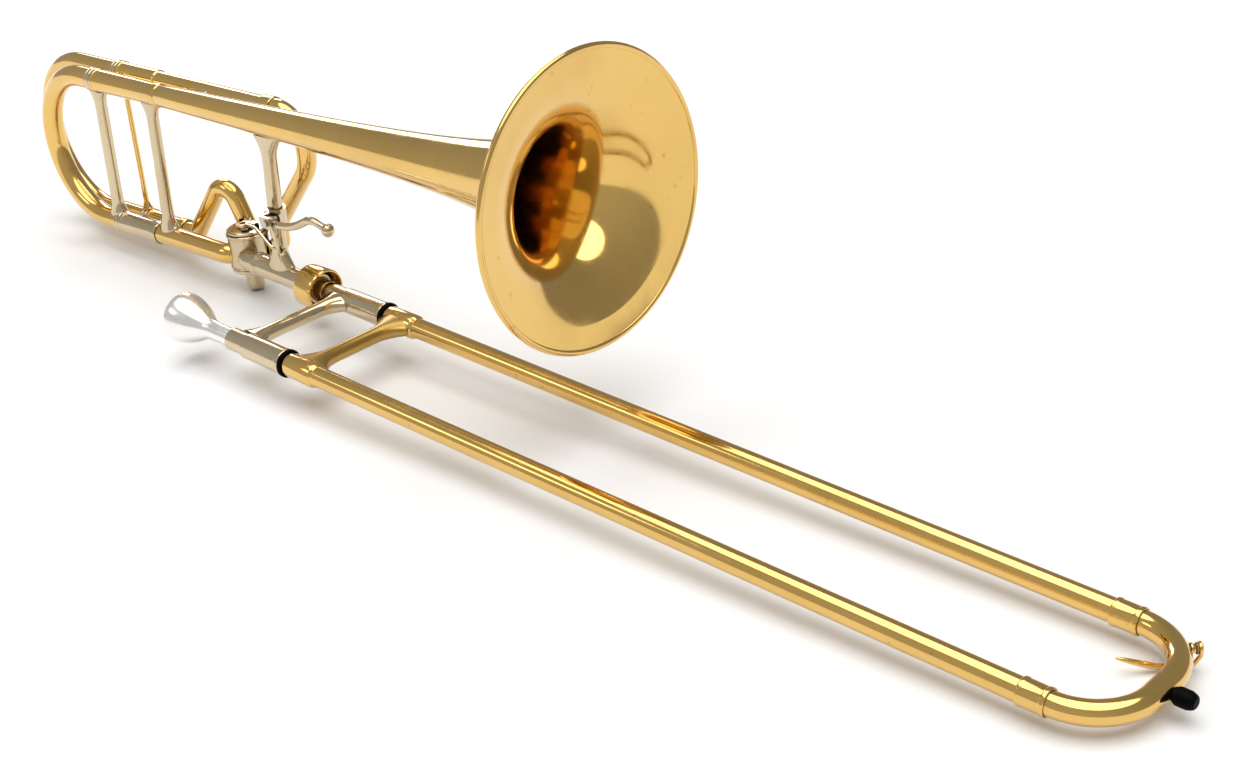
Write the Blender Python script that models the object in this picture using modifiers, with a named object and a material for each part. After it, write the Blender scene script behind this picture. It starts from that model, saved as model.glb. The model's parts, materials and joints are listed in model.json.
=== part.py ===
"""Tenor trombone with an F attachment.

The slide lies along X with its two tubes in the plane Z = 0 of the slide frame, and the bell stands above it.
Every dimension below is in millimetres; the helpers turn it into metres.
The slide is built in the slide frame, the bell section in the bell frame, which leans back by BELL_LEAN.
"""

import math

import bmesh
import bpy
from mathutils import Matrix, Vector

MM = 0.001
CLEAR = 0.35  # gap between neighbouring pieces

# Driving dimensions of the slide
TUBE_SPACING = 100.0
INNER_TUBE = (7.1, 6.65)  # outer radius, inner radius
STOCKING_RADIUS = 7.22
OUTER_TUBE = (7.9, 7.5)
TONGUE_RADIUS = 8.8  # of the part that goes into the cork barrel
SLEEVE_RADIUS = 9.6
SLEEVE = (0.8, 31.0)
INNER_TUBE_END = 640.0
OUTER_TUBE_START = -14.0
OUTER_TUBE_END = 651.0
CROOK_RADIUS = 41.0  # of each of the crook's two bends, with a short straight between them
CROOK_APEX = 701.0
BARREL_START = {"a": -69.0, "b": -72.0}
BARREL_END = -4.0
BARREL_RADIUS = 10.2
BARREL_NECK = 8.9
BARREL_STEP = -50.0
BARREL_BORE = 7.45
BARREL_CAVITY = 9.2
BARREL_SHOULDER = -24.0
HAND_BRACE_X = -55.0
OUTER_BRACE_X = 14.5
WATER_KEY_ANGLE = math.radians(45.0)
WATER_KEY_DEPTH = 12.2  # of its hinge below the crook's axis

# Driving dimensions of the joint between the slide and the bell section
NECKPIPE_START = -164.0
NECKPIPE_END = -92.0
NECKPIPE_TUBE = (9.0, 7.2)
FLANGE = (-96.6, 13.0)  # X of its rear face, and its radius
NUT_RADIUS = 18.0
NUT_END = -76.5
COLLAR_RADIUS = 12.6
LEADPIPE_SHOULDER = -47.0

# Driving dimensions of the bell section, from the bell frame's origin at the rear end of the neckpipe
BELL_FRAME_X = -165.0
BELL_LEAN = math.radians(3.66)
LOOP_HEIGHT = 131.2
BELL_RIM_X = 405.5
BELL_TAIL_X = -92.0
BELL_RADIUS = 108.0
BELL_THROAT = 10.5  # distance of the horn's pole behind the rim
BELL_FLARE = 0.581  # power of the horn curve
BELL_TAPER = 0.0032  # what the horn curve loses in radius for each millimetre from the rim
BELL_WALL = 0.8
RIM_WIRE_RADIUS = 1.1
RIM_ROLL_RADIUS = 2.4
MAIN_LEG = (8.8, 8.1)
MAIN_RECEIVER = (9.7, 9.1)
MAIN_INNER_LEG = (8.7, 8.1)
MAIN_BOW = (9.2, 8.5)
MAIN_BOW_APEX_X = -277.0
FERRULE_X = (-194.0, -187.0)
RECEIVER_X = -186.6
LOWER_RECEIVER_END = -133.0
TUNING_BRACE = (-196.5, -188.0)  # X of its lower and its upper end
F_TUNING_BRACE = (-191.5, -188.0)
RECEIVER_BRACE = (-121.0, -111.0)
BELL_BRACE = (33.0, 46.0)  # X of its lower and its upper end

# Driving dimensions of the F attachment
F_PLANE_Y = 26.0
F_LOWER_Z = -6.0
F_TUBE = (8.0, 7.3)
F_RECEIVER = (8.9, 8.3)
F_INNER_LEG = (7.95, 7.4)
F_BOW = (8.4, 7.7)
F_BOW_APEX_X = -319.0
F_LOWER_RECEIVER_END = -133.0
F_VALVE_TUBE = (7.9, 7.2)
VALVE_INLET = (8.6, 7.2)
ROTOR_X = -27.0
ROTOR_Y = 14.0
CASING = (17.0, 15.8)
CASING_Z = (-11.0, 19.0)
ROTOR_RADIUS = 15.4
PORT_RADIUS = 6.0
ELBOW_DISTANCE = 27.0  # from the rotor's axis to the elbow of each F tube
CRANK_RADIUS = 7.35
LEVER_PIVOT = Vector((52.0, -14.0, 53.0))
DRIVE_ARM = 25.0
LEVER_SWING = math.radians(24.0)
LINK_Z = 27.9

# Numbers of facets
ROUND = 18
BELL_FACETS = 32
SMALL = 12
TUBE_SIDES = 12

BRASS = ((0.80, 0.53, 0.20), 0.22, 1.0)
NICKEL = ((0.72, 0.67, 0.58), 0.25, 1.0)
SILVER = ((0.86, 0.85, 0.83), 0.15, 1.0)
STEEL = ((0.55, 0.55, 0.56), 0.35, 1.0)
RUBBER = ((0.015, 0.015, 0.015), 0.7, 0.0)
CORK = ((0.45, 0.28, 0.14), 0.9, 0.0)


# Scene set-up

def clear_scene():
    for obj in list(bpy.data.objects):
        bpy.data.objects.remove(obj, do_unlink=True)


def new_collection(name):
    collection = bpy.data.collections.new(name)
    bpy.context.scene.collection.children.link(collection)
    return collection


clear_scene()
PARTS = new_collection("trombone")
CUTTERS = new_collection("cutters")


def new_empty(name, parent=None, location=(0, 0, 0), lean=0.0):
    empty = bpy.data.objects.new(name, None)
    PARTS.objects.link(empty)
    empty.parent = parent
    empty.location = Vector(location) * MM
    empty.rotation_euler = (0.0, -lean, 0.0)
    return empty


INSTRUMENT = new_empty("instrument")
SLIDE_FRAME = new_empty("slide_frame", INSTRUMENT)
BELL_FRAME = new_empty("bell_frame", SLIDE_FRAME, (BELL_FRAME_X, 0, 0), BELL_LEAN)


def finish_of(name, finish):
    colour, roughness, metallic = finish
    material = bpy.data.materials.new(name)
    material.use_nodes = True
    shader = material.node_tree.nodes["Principled BSDF"]
    shader.inputs["Base Color"].default_value = (*colour, 1.0)
    shader.inputs["Roughness"].default_value = roughness
    shader.inputs["Metallic"].default_value = metallic
    return material


def add_object(name, data, frame, finish):
    """Links a part, or a cutter when finish is None, under its frame."""
    obj = bpy.data.objects.new(name, data)
    obj.parent = frame
    if finish is None:
        CUTTERS.objects.link(obj)
        obj.hide_render = True
        obj.display_type = "WIRE"
    else:
        PARTS.objects.link(obj)
        data.materials.append(finish_of(name, finish))
    return obj


def aim(obj, origin, direction):
    """Puts the object's own Z axis along direction, at origin."""
    obj.rotation_mode = "QUATERNION"
    obj.rotation_quaternion = Vector(direction).to_track_quat("Z", "Y")
    obj.location = Vector(origin) * MM


# Shapes

def turned(name, outer, inner, origin, direction, frame, finish, facets=ROUND):
    """A turned piece from (along, radius) points, both outlines running along direction; solid if inner is None."""
    if inner is None:
        outline = [(outer[-1][0], 0.0)] + outer[::-1] + [(outer[0][0], 0.0)]
    else:
        outline = outer[::-1] + inner
    count = len(outline)
    edges = [(i, i + 1) for i in range(count - 1)]
    if inner is not None:
        edges.append((count - 1, 0))
    mesh = bpy.data.meshes.new(name)
    mesh.from_pydata([(radius * MM, 0.0, along * MM) for along, radius in outline], edges, [])
    obj = add_object(name, mesh, frame, finish)
    turn = obj.modifiers.new("turn", "SCREW")
    turn.steps = facets
    turn.render_steps = facets
    turn.use_merge_vertices = True
    turn.merge_threshold = 0.00001
    aim(obj, origin, direction)
    return obj


def sleeve(name, start, end, radii, origin, direction, frame, finish, facets=ROUND):
    outer, inner = radii
    return turned(name, [(start, outer), (end, outer)], [(start, inner), (end, inner)], origin, direction, frame,
                  finish, facets)


def peg(name, start, end, radius, frame, finish=None, facets=ROUND):
    """A plain cylinder between two points; a cutter unless it has a finish."""
    start, end = Vector(start), Vector(end)
    mesh = bpy.data.meshes.new(name)
    shape = bmesh.new()
    bmesh.ops.create_cone(shape, cap_ends=True, segments=facets, radius1=radius * MM, radius2=radius * MM,
                          depth=(end - start).length * MM)
    shape.to_mesh(mesh)
    shape.free()
    obj = add_object(name, mesh, frame, finish)
    aim(obj, (start + end) / 2, end - start)
    return obj


def block(name, low, high, frame, finish=None, turn=None, pivot=(0, 0, 0)):
    """A box between two corners, turned about pivot by a matrix; a cutter unless it has a finish."""
    low, high, pivot = Vector(low), Vector(high), Vector(pivot)
    mesh = bpy.data.meshes.new(name)
    shape = bmesh.new()
    bmesh.ops.create_cube(shape, size=1.0)
    bmesh.ops.scale(shape, vec=(high - low) * MM, verts=shape.verts)
    bmesh.ops.translate(shape, vec=(low + high) * MM / 2, verts=shape.verts)
    if turn is not None:
        bmesh.ops.transform(shape, matrix=turn.to_4x4(), verts=shape.verts)
    bmesh.ops.translate(shape, vec=pivot * MM, verts=shape.verts)
    shape.to_mesh(mesh)
    shape.free()
    return add_object(name, mesh, frame, finish)


def ball(name, centre, radius, frame):
    mesh = bpy.data.meshes.new(name)
    shape = bmesh.new()
    bmesh.ops.create_uvsphere(shape, u_segments=SMALL, v_segments=8, radius=radius * MM)
    shape.to_mesh(mesh)
    shape.free()
    obj = add_object(name, mesh, frame, None)
    obj.location = Vector(centre) * MM
    return obj


def route(corners, step=math.radians(15)):
    """Points along straight runs joined by arcs; each corner is (x, y, z) or ((x, y, z), bend radius)."""
    points = []
    for index, corner in enumerate(corners):
        if not isinstance(corner[0], (tuple, Vector)):
            points.append(Vector(corner))
            continue
        here, radius = Vector(corner[0]), corner[1]
        before, after = corners[index - 1], corners[index + 1]
        before = Vector(before[0] if isinstance(before[0], (tuple, Vector)) else before)
        after = Vector(after[0] if isinstance(after[0], (tuple, Vector)) else after)
        inward, outward = (here - before).normalized(), (after - here).normalized()
        angle = inward.angle(outward)
        axis = inward.cross(outward).normalized()
        start = here - inward * radius * math.tan(angle / 2)
        centre = start + axis.cross(inward) * radius
        count = max(2, round(angle / step))
        for k in range(count + 1):
            points.append(centre + Matrix.Rotation(angle * k / count, 3, axis) @ (start - centre))
    kept = [points[0]]
    for point in points[1:]:
        if (point - kept[-1]).length > 0.05:
            kept.append(point)
    return kept


def rod(name, points, radius, frame, finish=None, sides=12, tapers=None):
    """A round rod along points; tapers scales the radius at each point."""
    curve = bpy.data.curves.new(name, "CURVE")
    curve.dimensions = "3D"
    curve.bevel_depth = radius * MM
    curve.bevel_resolution = (sides - 4) // 2
    curve.use_fill_caps = True
    spline = curve.splines.new("POLY")
    spline.points.add(len(points) - 1)
    for k, point in enumerate(points):
        spline.points[k].co = (*(Vector(point) * MM), 1.0)
        spline.points[k].radius = tapers[k] if tapers else 1.0
    return add_object(name, curve, frame, finish)


def pipe(name, points, radii, frame, finish, sides=TUBE_SIDES):
    """A hollow tube along points: a bevelled curve, open at its ends, with a wall."""
    obj = rod(name, points, radii[0], frame, finish, sides)
    obj.data.use_fill_caps = False
    wall = obj.modifiers.new("wall", "SOLIDIFY")
    wall.thickness = (radii[0] - radii[1]) * MM
    wall.offset = -1.0
    wall.use_even_offset = True
    return obj


def as_mesh(obj):
    """Replaces a curve object by its mesh, with its caps welded."""
    bpy.context.view_layer.update()
    evaluated = obj.evaluated_get(bpy.context.evaluated_depsgraph_get())
    mesh = bpy.data.meshes.new_from_object(evaluated)
    shape = bmesh.new()
    shape.from_mesh(mesh)
    bmesh.ops.remove_doubles(shape, verts=shape.verts, dist=0.000001)
    shape.to_mesh(mesh)
    shape.free()
    name, frame, matrix = obj.name, obj.parent, obj.matrix_world.copy()
    home = obj.users_collection[0]
    hidden, display = obj.hide_render, obj.display_type
    bpy.data.objects.remove(obj, do_unlink=True)
    result = bpy.data.objects.new(name, mesh)
    home.objects.link(result)
    result.hide_render, result.display_type = hidden, display
    result.parent = frame
    bpy.context.view_layer.update()
    result.matrix_world = matrix
    return result


def combine(obj, tools, operation):
    for tool in tools:
        boolean = obj.modifiers.new(tool.name, "BOOLEAN")
        boolean.operation = operation
        boolean.solver = "EXACT"
        boolean.object = tool
    return obj


def cut(obj, *tools):
    return combine(obj, tools, "DIFFERENCE")


def join(obj, *tools):
    return combine(obj, tools, "UNION")


def strut(name, start, end, waist, foot, seats, frame, finish, reach=14.0, facets=SMALL):
    """A round brace whose ends flare to a foot; seats are (point, direction, radius) of the tubes it meets."""
    start, end = Vector(start), Vector(end)
    length = (end - start).length
    flare = [(0.0, foot), (0.55, waist + (foot - waist) * 0.3), (1.0, waist)]
    seat_start, seat_end = seats[0][2], seats[1][2]
    low = [(seat_start * 0.5, foot)] + [(seat_start + CLEAR + t * reach, r) for t, r in flare]
    high = [(length - seat_end - CLEAR - t * reach, r) for t, r in flare[::-1]] + [(length - seat_end * 0.5, foot)]
    obj = turned(name, low + high, None, start, end - start, frame, finish, facets)
    tools = []
    for k, (point, direction, radius) in enumerate(seats):
        half = Vector(direction).normalized() * 40
        point = Vector(point)
        tools.append(peg(f"{name}_seat_{k}", point - half, point + half, radius + CLEAR, frame))
    return cut(obj, *tools)


# Bell

def horn_radius(x):
    distance = BELL_RIM_X - x
    return BELL_RADIUS * (BELL_THROAT / (distance + BELL_THROAT)) ** BELL_FLARE - BELL_TAPER * distance


def make_bell():
    """The bell is one sheet: the horn curve, then a roll over the rim wire."""
    wire_x = BELL_RIM_X - RIM_ROLL_RADIUS
    wire_radius = BELL_RADIUS - RIM_ROLL_RADIUS
    roll = RIM_ROLL_RADIUS - BELL_WALL / 2
    stations = 12
    first = 4.0
    length = BELL_RIM_X - BELL_TAIL_X
    middle = []
    for k in range(stations):
        distance = first * (length / first) ** (1 - k / (stations - 1))
        middle.append(Vector((BELL_RIM_X - distance, horn_radius(BELL_RIM_X - distance) - BELL_WALL / 2)))
    for k in range(6):
        angle = math.radians(25 + 44 * k)
        middle.append(Vector((wire_x + roll * math.sin(angle), wire_radius - roll * math.cos(angle))))
    outer, inner = [], []
    for k, point in enumerate(middle):
        ahead = (middle[min(k + 1, len(middle) - 1)] - middle[max(k - 1, 0)]).normalized()
        across = Vector((-ahead.y, ahead.x)) * BELL_WALL / 2
        outer.append(tuple(point + across))
        inner.append(tuple(point - across))
    axis = (0, 0, LOOP_HEIGHT)
    turned("bell", outer, inner, axis, (1, 0, 0), BELL_FRAME, BRASS, BELL_FACETS)
    ring = []
    for k in range(6):
        angle = math.tau * (k + 0.5) / 6
        ring.append((wire_x - RIM_WIRE_RADIUS * math.cos(angle), wire_radius + RIM_WIRE_RADIUS * math.sin(angle)))
    turned("bell_rim_wire", ring[:3], ring[:2:-1], axis, (1, 0, 0), BELL_FRAME, STEEL, BELL_FACETS)


# Main tube of the bell section

def make_main_tube():
    top = (0, 0, LOOP_HEIGHT)
    along = (1, 0, 0)
    outer, inner = MAIN_RECEIVER
    bell_socket = BELL_TAIL_X - CLEAR
    turned("upper_outer_leg", [(RECEIVER_X, outer), (bell_socket, outer)], [(RECEIVER_X, inner), (bell_socket, inner)],
           top, along, BELL_FRAME, BRASS)
    sleeve("lower_outer_leg", RECEIVER_X, LOWER_RECEIVER_END, MAIN_RECEIVER, (0, 0, 0), along, BELL_FRAME, NICKEL)
    make_knuckle("lower_leg", LOWER_RECEIVER_END + CLEAR, (-1, -1), MAIN_LEG, BRASS)


def casing_cutter(name):
    return peg(name, (ROTOR_X, ROTOR_Y, -40), (ROTOR_X, ROTOR_Y, 60), CASING[0] + CLEAR, BELL_FRAME, facets=48)


def port_point(port, distance):
    """A point on the line of a port of the valve, which leaves the rotor at 45 degrees."""
    root = math.sqrt(0.5)
    return Vector((ROTOR_X + port[0] * root * distance, ROTOR_Y + port[1] * root * distance, 0.0))


def make_knuckle(name, far_x, port, radii, finish):
    """A straight leg on the main tube's line that bends into the near side of the valve."""
    bend_x = ROTOR_X + port[0] * ROTOR_Y
    points = route([port_point(port, 8.0), ((bend_x, 0, 0), 12.0), (far_x, 0, 0)])
    leg = as_mesh(pipe(name, points, radii, BELL_FRAME, finish))
    return cut(leg, casing_cutter(name + "_saddle"))


def make_neckpipe():
    outer, inner = NECKPIPE_TUBE
    flange_face, flange = FLANGE
    turned("neckpipe",
           [(NECKPIPE_START, outer + 0.9), (NECKPIPE_START + 6, outer + 0.9), (NECKPIPE_START + 6, outer),
            (flange_face, outer), (flange_face, flange), (NECKPIPE_END, flange)],
           [(NECKPIPE_START, inner), (NECKPIPE_END, inner)], (0, 0, 0), (1, 0, 0), SLIDE_FRAME, NICKEL)
    make_knuckle("valve_inlet", 0.3, (1, -1), VALVE_INLET, NICKEL)
    turned("lock_nut",
           [(-100.0, 15.5), (-98.0, NUT_RADIUS), (NUT_END - 1.5, NUT_RADIUS), (NUT_END, NUT_RADIUS - 1.2)],
           [(-100.0, outer + 0.4), (-97.0, outer + 0.4), (-97.0, flange + 0.4), (-85.0, flange + 0.4),
            (NUT_END, NUT_RADIUS - 2.6)],
           (0, 0, 0), (1, 0, 0), SLIDE_FRAME, BRASS, 24)


def make_tuning_slide(prefix, plane_y, low_z, receiver, inner_leg, bow, apex_x, legs, brace, waist, foot, finish):
    """A bow with two inner legs, each with its ferrule, and a brace between the ferrules."""
    radius = (LOOP_HEIGHT - low_z) / 2
    bow_end = FERRULE_X[0] + 4.5
    points = route([(bow_end, plane_y, low_z), ((apex_x, plane_y, low_z), radius),
                    ((apex_x, plane_y, LOOP_HEIGHT), radius), (bow_end, plane_y, LOOP_HEIGHT)])
    pipe(prefix + "_bow", points, bow, BELL_FRAME, BRASS)
    ferrule = bow[0] + 1.3
    for height, end, place in ((LOOP_HEIGHT, legs[0], "upper"), (low_z, legs[1], "lower")):
        turned(f"{prefix}_{place}_leg",
               [(FERRULE_X[0], ferrule), (FERRULE_X[1], ferrule), (FERRULE_X[1], inner_leg[0]), (end, inner_leg[0])],
               [(FERRULE_X[0], bow[0] + 0.3), (bow_end + 0.4, bow[0] + 0.3), (bow_end + 0.4, inner_leg[1]),
                (end, inner_leg[1])],
               (0, plane_y, height), (1, 0, 0), BELL_FRAME, NICKEL)
    seat = max(ferrule, receiver[0])
    low, high = (brace[0], plane_y, low_z), (brace[1], plane_y, LOOP_HEIGHT)
    strut(prefix + "_brace", low, high, waist, foot, [(low, (1, 0, 0), seat), (high, (1, 0, 0), seat)],
          BELL_FRAME, finish)


def make_braces():
    along = (1, 0, 0)
    low, high = (RECEIVER_BRACE[0], 0, 0), (RECEIVER_BRACE[1], 0, LOOP_HEIGHT)
    strut("receiver_brace", low, high, 5.2, 9.0,
          [(low, along, MAIN_LEG[0]), (high, along, horn_radius(RECEIVER_BRACE[1] + 10) + 0.3)], BELL_FRAME, NICKEL)
    slide_along = (math.cos(BELL_LEAN), 0, -math.sin(BELL_LEAN))
    neck_point = (BELL_BRACE[0], 0, -BELL_BRACE[0] * math.tan(BELL_LEAN))
    high = (BELL_BRACE[1], 0, LOOP_HEIGHT)
    strut("bell_brace", neck_point, high, 6.0, 9.0,
          [(neck_point, slide_along, NECKPIPE_TUBE[0]), (high, along, horn_radius(BELL_BRACE[1] + 9) + 0.2)],
          BELL_FRAME, NICKEL, reach=16.0)


# F attachment tubing

def make_f_tubes():
    along = (1, 0, 0)
    top = (0, F_PLANE_Y, LOOP_HEIGHT)
    receiver_end, socket_start, socket_end = -131.0, 13.0, 26.0
    outer, inner = F_TUBE
    turned("f_top_tube",
           [(RECEIVER_X, F_RECEIVER[0]), (receiver_end, F_RECEIVER[0]), (receiver_end, outer), (socket_start, outer),
            (socket_start, 9.0), (socket_end, 9.0)],
           [(RECEIVER_X, F_RECEIVER[1]), (receiver_end - 2, F_RECEIVER[1]), (receiver_end - 2, inner),
            (socket_start + 2, inner), (socket_start + 2, outer + 0.35), (socket_end, outer + 0.35)],
           top, along, BELL_FRAME, BRASS)
    elbow = port_point((1, 1), ELBOW_DISTANCE)
    front = route([(socket_start + 2.4, F_PLANE_Y, LOOP_HEIGHT), ((57, F_PLANE_Y, LOOP_HEIGHT), 30.0),
                   ((57, F_PLANE_Y, 87), 30.0), ((elbow.x, elbow.y, 22), 16.0), (elbow, 10.0), port_point((1, 1), 8.0)],
                  math.radians(30))
    crook = as_mesh(pipe("f_front_crook", front, F_TUBE, BELL_FRAME, BRASS))
    cut(crook, casing_cutter("f_front_saddle"))
    lower_end = F_LOWER_RECEIVER_END
    sleeve("f_lower_receiver", RECEIVER_X, lower_end, F_RECEIVER, (0, F_PLANE_Y, F_LOWER_Z), along, BELL_FRAME, BRASS)
    elbow = port_point((-1, 1), ELBOW_DISTANCE)
    rear = route([(lower_end + CLEAR, F_PLANE_Y, F_LOWER_Z), ((-119, F_PLANE_Y, F_LOWER_Z), 12.0),
                  ((-66, 29, 57.6), 14.0), (elbow, 10.0), port_point((-1, 1), 8.0)], math.radians(30))
    crook = as_mesh(pipe("f_valve_crook", rear, F_VALVE_TUBE, BELL_FRAME, BRASS))
    cut(crook, casing_cutter("f_rear_saddle"))


def make_f_stay():
    along = (1, 0, 0)
    low, high = (-60, 0, LOOP_HEIGHT), (-60, F_PLANE_Y, LOOP_HEIGHT)
    strut("f_stay", low, high, 3.0, 4.6, [(low, along, horn_radius(-54)), (high, along, F_TUBE[0])],
          BELL_FRAME, NICKEL, reach=2.6)


# Valve

def make_casing():
    outer, inner = CASING
    low, high = CASING_Z
    centre = (ROTOR_X, ROTOR_Y, 0)
    up = (0, 0, 1)
    casing = turned("rotor_casing",
                    [(low, outer + 0.9), (low + 1.6, outer + 0.9), (low + 1.6, outer), (high - 3.2, outer),
                     (high - 3.2, outer + 0.9), (high, outer + 0.9)],
                    [(low, inner), (high, inner)], centre, up, BELL_FRAME, NICKEL, 24)
    holes = []
    for k, port in enumerate(((1, -1), (-1, -1), (1, 1), (-1, 1))):
        holes.append(peg(f"casing_port_{k}", port_point(port, 8.0), port_point(port, 24.0), PORT_RADIUS, BELL_FRAME,
                         facets=12))
    cut(casing, *holes)
    turned("bearing_plate", [(high + CLEAR, 16.8), (high + 2.6, 16.8), (high + 3.2, 16.0)],
           [(high + CLEAR, 3.9), (high + 3.2, 3.9)], centre, up, BELL_FRAME, NICKEL, 24)
    cap = turned("valve_cap", [(low - 23.0, 4.0), (low - 21.4, 6.2), (low - 18.0, 7.2), (low - 4.6, 7.6),
                               (low - 4.0, 15.5), (low - 3.0, 17.4), (low - CLEAR, 17.4)],
                 None, centre, up, BELL_FRAME, NICKEL, 24)
    cut(cap, peg("cap_journal_hole", (ROTOR_X, ROTOR_Y, low - 3.2), (ROTOR_X, ROTOR_Y, low + 4), 3.9, BELL_FRAME,
                 facets=16))


def make_rotor():
    """A cylinder with two quarter-turn passages, on a spindle with a journal at each end."""
    centre = (ROTOR_X, ROTOR_Y, 0)
    journal = 3.5
    rotor = turned("rotor", [(-13.8, journal), (-9.6, journal), (-9.6, ROTOR_RADIUS), (18.2, ROTOR_RADIUS),
                             (18.2, journal), (25.4, journal)], None, centre, (0, 0, 1), BELL_FRAME, BRASS, 24)
    tools = []
    for k, side in enumerate((-1, 1)):
        corner = Vector((ROTOR_X, ROTOR_Y + side * 22.0, 0))
        points = []
        for step in range(7):
            angle = math.radians(-54 + 18 * step)
            points.append(corner + Vector((15.6 * math.sin(angle), -side * 15.6 * math.cos(angle), 0)))
        tools.append(as_mesh(rod(f"rotor_passage_{k}", points, 5.4, BELL_FRAME, None, 10)))
    cut(rotor, *tools)


def make_stop_arm():
    """The arm on the spindle: a crank towards the link and a horn between the two bumpers."""
    low, high = 22.9, 25.2
    centre = Vector((ROTOR_X, ROTOR_Y, 0))
    arm = peg("stop_arm", centre + Vector((0, 0, low)), centre + Vector((0, 0, high)), 6.3, BELL_FRAME, NICKEL, 20)
    crank_angle = math.radians(-45)
    pin = centre + CRANK_RADIUS * Vector((math.cos(crank_angle), math.sin(crank_angle), 0))
    crank = block("stop_arm_crank", (0, -3.0, low), (CRANK_RADIUS + 3.2, 3.0, high), BELL_FRAME, None,
                  Matrix.Rotation(crank_angle, 3, "Z"), centre)
    horn = block("stop_arm_horn", (0, -2.5, low), (13.4, 2.5, high), BELL_FRAME, None,
                 Matrix.Rotation(crank_angle + math.pi, 3, "Z"), centre)
    post = peg("crank_pin", pin + Vector((0, 0, low + 1)), pin + Vector((0, 0, 30.2)), 1.2, BELL_FRAME, facets=10)
    join(arm, crank, horn, post)
    cut(arm, peg("stop_arm_bore", centre + Vector((0, 0, 18)), centre + Vector((0, 0, 28)), 3.85, BELL_FRAME,
                 facets=20))
    turned("stop_arm_screw", [(25.75, 4.4), (26.2, 4.4), (26.6, 3.9)], None, centre, (0, 0, 1), BELL_FRAME, STEEL, 16)
    for side, place in ((-1, "rest"), (1, "valve")):
        angle = math.radians(90 - side * 71.5)
        foot = centre + 11.0 * Vector((math.cos(angle), math.sin(angle), 0))
        peg(f"stop_bumper_{place}", foot + Vector((0, 0, 22.55)), foot + Vector((0, 0, 26.0)), 2.0, BELL_FRAME, RUBBER,
            12)


def make_lever():
    """The thumb lever turns about Y on a bracket that is clamped round the bell brace."""
    x, y, z = LEVER_PIVOT
    lean = LEVER_SWING / 2
    barrel = peg("thumb_lever", (x, -18.6, z), (x, -13.4, z), 4.0, BELL_FRAME, NICKEL, 20)
    touch_place = Vector((x + 69, y + 1, z + 5))
    arm_points = route([(x, y - 1.5, z - 1.5), ((x + 24, y - 1.5, z - 2), 60.0), ((x + 50, y, z + 11), 16.0),
                        touch_place], math.radians(10))
    arm = as_mesh(rod("lever_arm", arm_points, 2.7, BELL_FRAME, None, 12))
    touch = ball("lever_touch", touch_place, 5.4, BELL_FRAME)
    hang = Matrix.Rotation(-lean, 3, "Y")
    drive = block("lever_drive", (-2.4, -18.2, -DRIVE_ARM - 2.6), (2.4, -16.0, 0), BELL_FRAME, None, hang, (x, 0, z))
    pin_x = x + DRIVE_ARM * math.sin(lean)
    pin_z = z - DRIVE_ARM * math.cos(lean)
    post = peg("lever_drive_pin", (pin_x, -17.2, pin_z), (pin_x, -11.8, pin_z), 1.2, BELL_FRAME, facets=10)
    join(barrel, arm, touch, drive, post)
    cut(barrel, peg("lever_bore", (x, -24, z), (x, -8, z), 1.9, BELL_FRAME, facets=12))

    foot = Vector((BELL_BRACE[0], 0, 0))
    along = Vector((BELL_BRACE[1] - BELL_BRACE[0], 0, LOOP_HEIGHT))
    mount = turned("lever_bracket", [(z - 9, 8.4), (z + 5, 8.4)], [(z - 9, 6.35), (z + 5, 6.35)], foot, along,
                   BELL_FRAME, NICKEL)
    near_lug = block("bracket_near_lug", (x - 15.5, -10.0, z - 5), (x + 4.5, -7.0, z + 5), BELL_FRAME)
    far_lug = block("bracket_far_lug", (x - 7.6, -21.4, z - 4.5), (x + 4.5, -19.0, z + 5), BELL_FRAME)
    bridge = block("bracket_bridge", (x - 7.6, -21.4, z - 2), (x - 5.4, -8.0, z + 5), BELL_FRAME)
    join(mount, near_lug, bridge, far_lug)
    cut(mount, peg("bracket_bore", (x, -26, z), (x, -6.9, z), 1.65, BELL_FRAME, facets=12),
        peg("bracket_brace_bore", foot, foot + along, 6.35, BELL_FRAME))
    screw = peg("lever_hinge_screw", (x, -21.75, z), (x, -7.4, z), 1.3, BELL_FRAME, STEEL, 12)
    join(screw, peg("lever_screw_head", (x, -23.4, z), (x, -21.75, z), 3.0, BELL_FRAME, facets=12))

    turns, per_turn = 2.5, 10
    coil = []
    for k in range(int(turns * per_turn) + 1):
        angle = math.tau * k / per_turn
        coil.append((x + 2.7 * math.cos(angle), -12.8 + 0.8 * k / per_turn, z + 2.7 * math.sin(angle)))
    rod("lever_spring", coil, 0.32, BELL_FRAME, STEEL, 6)


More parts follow.
